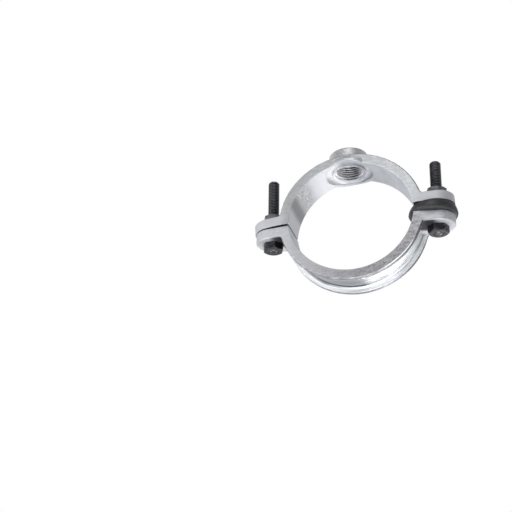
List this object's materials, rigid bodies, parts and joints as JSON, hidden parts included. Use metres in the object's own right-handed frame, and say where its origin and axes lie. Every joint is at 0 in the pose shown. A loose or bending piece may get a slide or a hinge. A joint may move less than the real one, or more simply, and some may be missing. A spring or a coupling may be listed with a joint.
{
  "type": "two-bolt pipe saddle clamp with threaded outlet",
  "caption": "Cast aluminium pipe saddle in two halves, with ears, hex bolts and nuts, a threaded outlet on the upper half and a rubber sealing ring kept on one bolt.",
  "frame": {"origin": "where the axis of the saddle's bore crosses the axis of the outlet, half way along the pipe", "axes": "+X from ear to ear towards the rubber ring, +Y along the pipe, +Z out of the outlet"},
  "size_m": [0.1445, 0.038, 0.1027],
  "materials": {
    "cast_aluminium": "as cast",
    "rubber": "matt moulded",
    "black_steel": "black oxide"
  },
  "bodies": {
    "saddle": {"saddle": "cast_aluminium"},
    "strap": {"strap": "cast_aluminium", "gasket": "rubber", "bolt_left": "black_steel", "bolt_right": "black_steel"},
    "nut_left": {"nut_left": "black_steel"},
    "nut_right": {"nut_right": "black_steel"}
  },
  "joints": [
    {"name": "strap_slide", "type": "slide", "parent": "saddle", "child": "strap", "axis": [-0.0586, 0, -0.9983], "range_m": [0, 0.02]},
    {"name": "nut_left_turn", "type": "hinge", "parent": "saddle", "child": "nut_left", "pos_m": [-0.0584, 0, 0.01035], "axis": [0.0586, 0, 0.9983], "range_deg": [0, 5761]},
    {"name": "nut_right_turn", "type": "hinge", "parent": "saddle", "child": "nut_right", "pos_m": [0.059, 0, 0.00347], "axis": [0.0586, 0, 0.9983], "range_deg": [0, 5761]}
  ],
  "couplings": [
    {"joint": "nut_left_turn", "follows": "strap_slide", "rad_per_m": 5026.5},
    {"joint": "nut_right_turn", "follows": "strap_slide", "rad_per_m": 5026.5}
  ]
}
